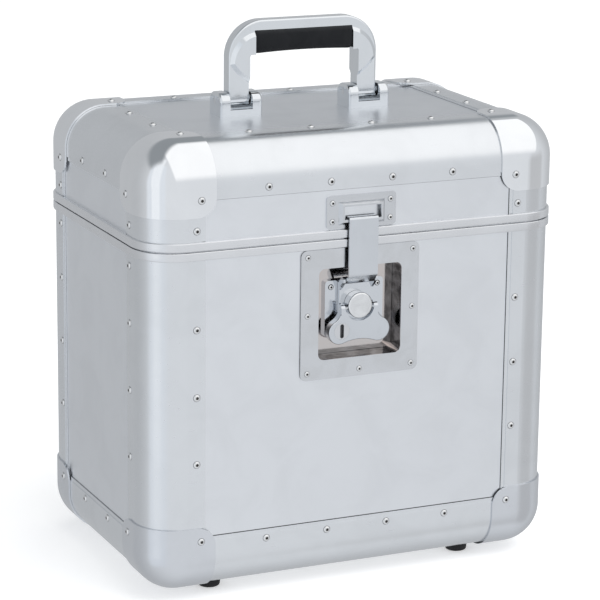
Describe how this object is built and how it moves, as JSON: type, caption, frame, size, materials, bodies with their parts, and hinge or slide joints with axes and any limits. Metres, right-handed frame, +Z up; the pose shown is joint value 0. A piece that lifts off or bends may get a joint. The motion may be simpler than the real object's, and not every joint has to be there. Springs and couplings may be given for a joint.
{
  "type": "record carrying case",
  "caption": "Aluminium carrying case for records: riveted edge extrusions, corner caps, hinged lid with folding handle, recessed butterfly latch with hooked strap.",
  "frame": {"origin": "on the ground, in the middle under the case", "axes": "+X to the right seen from the front, -Y towards the front with the latch, +Z up"},
  "size_m": [0.3556, 0.2463, 0.434],
  "materials": {
    "panel_skin": "pale brushed aluminium skin on a plywood panel",
    "edge_extrusion": "satin anodised extrusion",
    "satin_cap": "satin plating",
    "rim_extrusion": "satin anodised extrusion",
    "foam": "dark grey foam",
    "foot_rubber": "matte black rubber",
    "rivet": "bright rivet heads",
    "hinge_steel": "satin plating",
    "latch_plating": "polished nickel plating",
    "bright_cap": "polished plating",
    "latch_satin": "satin nickel plating",
    "handle_plating": "polished plating",
    "grip_rubber": "satin black rubber"
  },
  "bodies": {
    "body": {"front_panel": "panel_skin", "rear_panel": "panel_skin", "left_panel": "panel_skin", "right_panel": "panel_skin", "bottom_panel": "panel_skin", "corner_post_front_left": "edge_extrusion", "corner_post_front_right": "edge_extrusion", "corner_post_rear_left": "edge_extrusion", "corner_post_rear_right": "edge_extrusion", "bottom_edge_front": "edge_extrusion", "bottom_edge_rear": "edge_extrusion", "bottom_edge_left": "edge_extrusion", "bottom_edge_right": "edge_extrusion", "bottom_corner_front_left": "satin_cap", "bottom_corner_front_right": "satin_cap", "bottom_corner_rear_left": "satin_cap", "bottom_corner_rear_right": "satin_cap", "body_rim": "rim_extrusion", "body_lining": "foam", "floor_pad": "foam", "rubber_feet": "foot_rubber", "foot_screws": "rivet", "body_rivets": "rivet", "hinge_leaves_body": "hinge_steel", "hinge_pins": "rivet", "latch_dish": "latch_plating", "latch_base": "latch_plating", "latch_rivets": "rivet"},
    "lid": {"lid_top_panel": "panel_skin", "lid_front_panel": "panel_skin", "lid_rear_panel": "panel_skin", "lid_left_panel": "panel_skin", "lid_right_panel": "panel_skin", "lid_posts": "edge_extrusion", "top_edge_front": "edge_extrusion", "top_edge_rear": "edge_extrusion", "top_edge_left": "edge_extrusion", "top_edge_right": "edge_extrusion", "top_corner_front_left": "bright_cap", "top_corner_front_right": "bright_cap", "top_corner_rear_left": "bright_cap", "top_corner_rear_right": "bright_cap", "lid_rim": "rim_extrusion", "lid_lining": "foam", "lid_rivets": "rivet", "hinge_leaves_lid": "hinge_steel", "keeper_plate": "latch_satin", "handle_brackets": "handle_plating", "bracket_screws": "rivet", "handle_pins": "rivet"},
    "handle": {"handle_bail": "handle_plating", "handle_grip": "grip_rubber"},
    "latch_turn": {"latch_boss": "latch_plating", "latch_cam": "latch_satin", "wing_pin": "rivet"},
    "wing": {"latch_wing": "latch_satin"},
    "key": {"key_barrel": "latch_satin"},
    "slider": {"latch_slider": "latch_satin", "strap_pin": "rivet"},
    "strap": {"latch_strap": "latch_satin"}
  },
  "joints": [
    {"name": "lid_hinge", "type": "hinge", "parent": "body", "child": "lid", "pos_m": [0, 0.1218, 0.2808], "axis": [-1, 0, 0], "range_deg": [0, 100]},
    {"name": "handle_swing", "type": "hinge", "parent": "lid", "child": "handle", "pos_m": [0, 0, 0.372], "axis": [1, 0, 0], "range_deg": [-90, 90]},
    {"name": "boss_turn", "type": "hinge", "parent": "body", "child": "latch_turn", "pos_m": [0, -0.1155, 0.2265], "axis": [0, 1, 0], "range_deg": [0, 180]},
    {"name": "wing_flip", "type": "hinge", "parent": "latch_turn", "child": "wing", "pos_m": [0, -0.1133, 0.224], "axis": [-1, 0, 0], "range_deg": [0, 90]},
    {"name": "key_turn", "type": "hinge", "parent": "wing", "child": "key", "pos_m": [-0.015, -0.1133, 0.207], "axis": [0, -1, 0], "range_deg": [0, 90]},
    {"name": "slider_lift", "type": "slide", "parent": "body", "child": "slider", "axis": [0, 0, 1], "range_m": [0, 0.007]},
    {"name": "hasp_tilt", "type": "hinge", "parent": "slider", "child": "strap", "pos_m": [0, -0.114, 0.2466], "axis": [1, 0, 0], "range_deg": [0, 70]}
  ],
  "couplings": [
    {"joint": "boss_turn", "follows": "wing_flip", "ratio": 2},
    {"joint": "slider_lift", "follows": "wing_flip", "m_per_rad": 0.004456}
  ]
}
